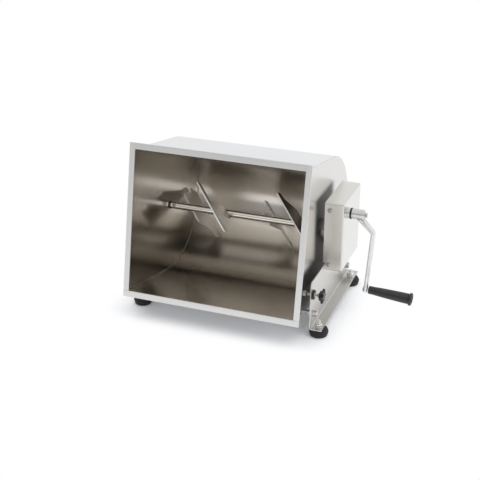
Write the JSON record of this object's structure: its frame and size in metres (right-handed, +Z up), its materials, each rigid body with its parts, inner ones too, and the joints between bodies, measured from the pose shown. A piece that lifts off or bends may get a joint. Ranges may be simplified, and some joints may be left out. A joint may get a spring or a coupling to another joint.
{
  "type": "manual meat mixer",
  "caption": "Hand-cranked meat mixer: a tipping steel tank between two stands, with a paddle shaft inside driven through a gearbox by a side crank, and a locking knob.",
  "frame": {"origin": "middle of the footprint's bounding box, on the surface the feet stand on", "axes": "+X along the paddle shaft towards the crank, +Y to the back, away from the tipped tank's mouth, +Z up"},
  "size_m": [0.6138, 0.4002, 0.387],
  "materials": {
    "tank_steel": "polished stainless sheet",
    "stand_steel": "brushed stainless sheet",
    "paddle_steel": "polished stainless",
    "plated_steel": "bright zinc or stainless hardware",
    "gear_steel": "machined and greased",
    "cast_arm": "cast and tumbled",
    "black_nylon": "plain black nylon",
    "black_plastic": "satin moulded black plastic",
    "foot_rubber": "matte black rubber"
  },
  "bodies": {
    "stand": {"stand_left": "stand_steel", "stand_right": "stand_steel", "pivot_bush_left": "black_nylon", "pivot_bush_right": "black_nylon", "tie_rod_front": "plated_steel", "tie_rod_back": "plated_steel", "tie_rod_nuts": "plated_steel", "tie_rod_washers": "plated_steel", "foot_front_left": "foot_rubber", "foot_back_left": "foot_rubber", "foot_front_right": "foot_rubber", "foot_back_right": "foot_rubber", "foot_studs": "plated_steel", "foot_nuts": "plated_steel", "foot_washers": "plated_steel", "gearbox_cover": "stand_steel", "cover_screws": "plated_steel", "crank_boss": "plated_steel", "crank_bush": "black_nylon", "lock_bush": "black_nylon"},
    "tank": {"tank_wrap": "tank_steel", "tank_end_left": "tank_steel", "tank_end_right": "tank_steel", "tank_rim": "tank_steel", "tank_hub_left": "stand_steel", "tank_hub_right": "stand_steel", "shaft_seal_left": "black_nylon", "shaft_seal_right": "black_nylon", "lock_boss": "stand_steel"},
    "agitator": {"paddle_shaft": "paddle_steel", "paddle_1": "paddle_steel", "paddle_2": "paddle_steel", "paddle_3": "paddle_steel", "paddle_4": "paddle_steel", "shaft_screws": "plated_steel", "pivot_stub": "paddle_steel", "stub_washer": "plated_steel", "stub_nut": "plated_steel", "drive_shaft": "paddle_steel", "drive_gear": "gear_steel", "gear_pin": "plated_steel", "gear_clip": "plated_steel"},
    "crank": {"crank_shaft": "paddle_steel", "pinion_gear": "gear_steel", "pinion_pin": "plated_steel", "crank_collar": "black_nylon", "crank_arm": "cast_arm", "crank_screw": "plated_steel", "handle_pin": "plated_steel"},
    "grip": {"handle_grip": "black_plastic"},
    "lock": {"lock_stud": "plated_steel", "lock_knob": "black_plastic"}
  },
  "joints": [
    {"name": "tank_tilt", "type": "hinge", "parent": "stand", "child": "tank", "pos_m": [-0.0891, 0.03329, 0.181], "axis": [-1, 0, 0], "range_deg": [0, 78.6]},
    {"name": "agitator_spin", "type": "hinge", "parent": "stand", "child": "agitator", "pos_m": [-0.0891, 0.03329, 0.181], "axis": [1, 0, 0], "continuous": true},
    {"name": "crank_spin", "type": "hinge", "parent": "stand", "child": "crank", "pos_m": [0.1709, -0.01092, 0.24343], "axis": [1, 0, 0], "continuous": true},
    {"name": "grip_spin", "type": "hinge", "parent": "crank", "child": "grip", "pos_m": [0.20374, -0.01092, 0.07043], "axis": [0.9976, 0, -0.0698], "continuous": true},
    {"name": "lock_slide", "type": "slide", "parent": "stand", "child": "lock", "axis": [-1, 0, 0], "range_m": [0, 0.0035]}
  ],
  "couplings": [
    {"joint": "crank_spin", "follows": "agitator_spin", "ratio": -3.6364}
  ]
}
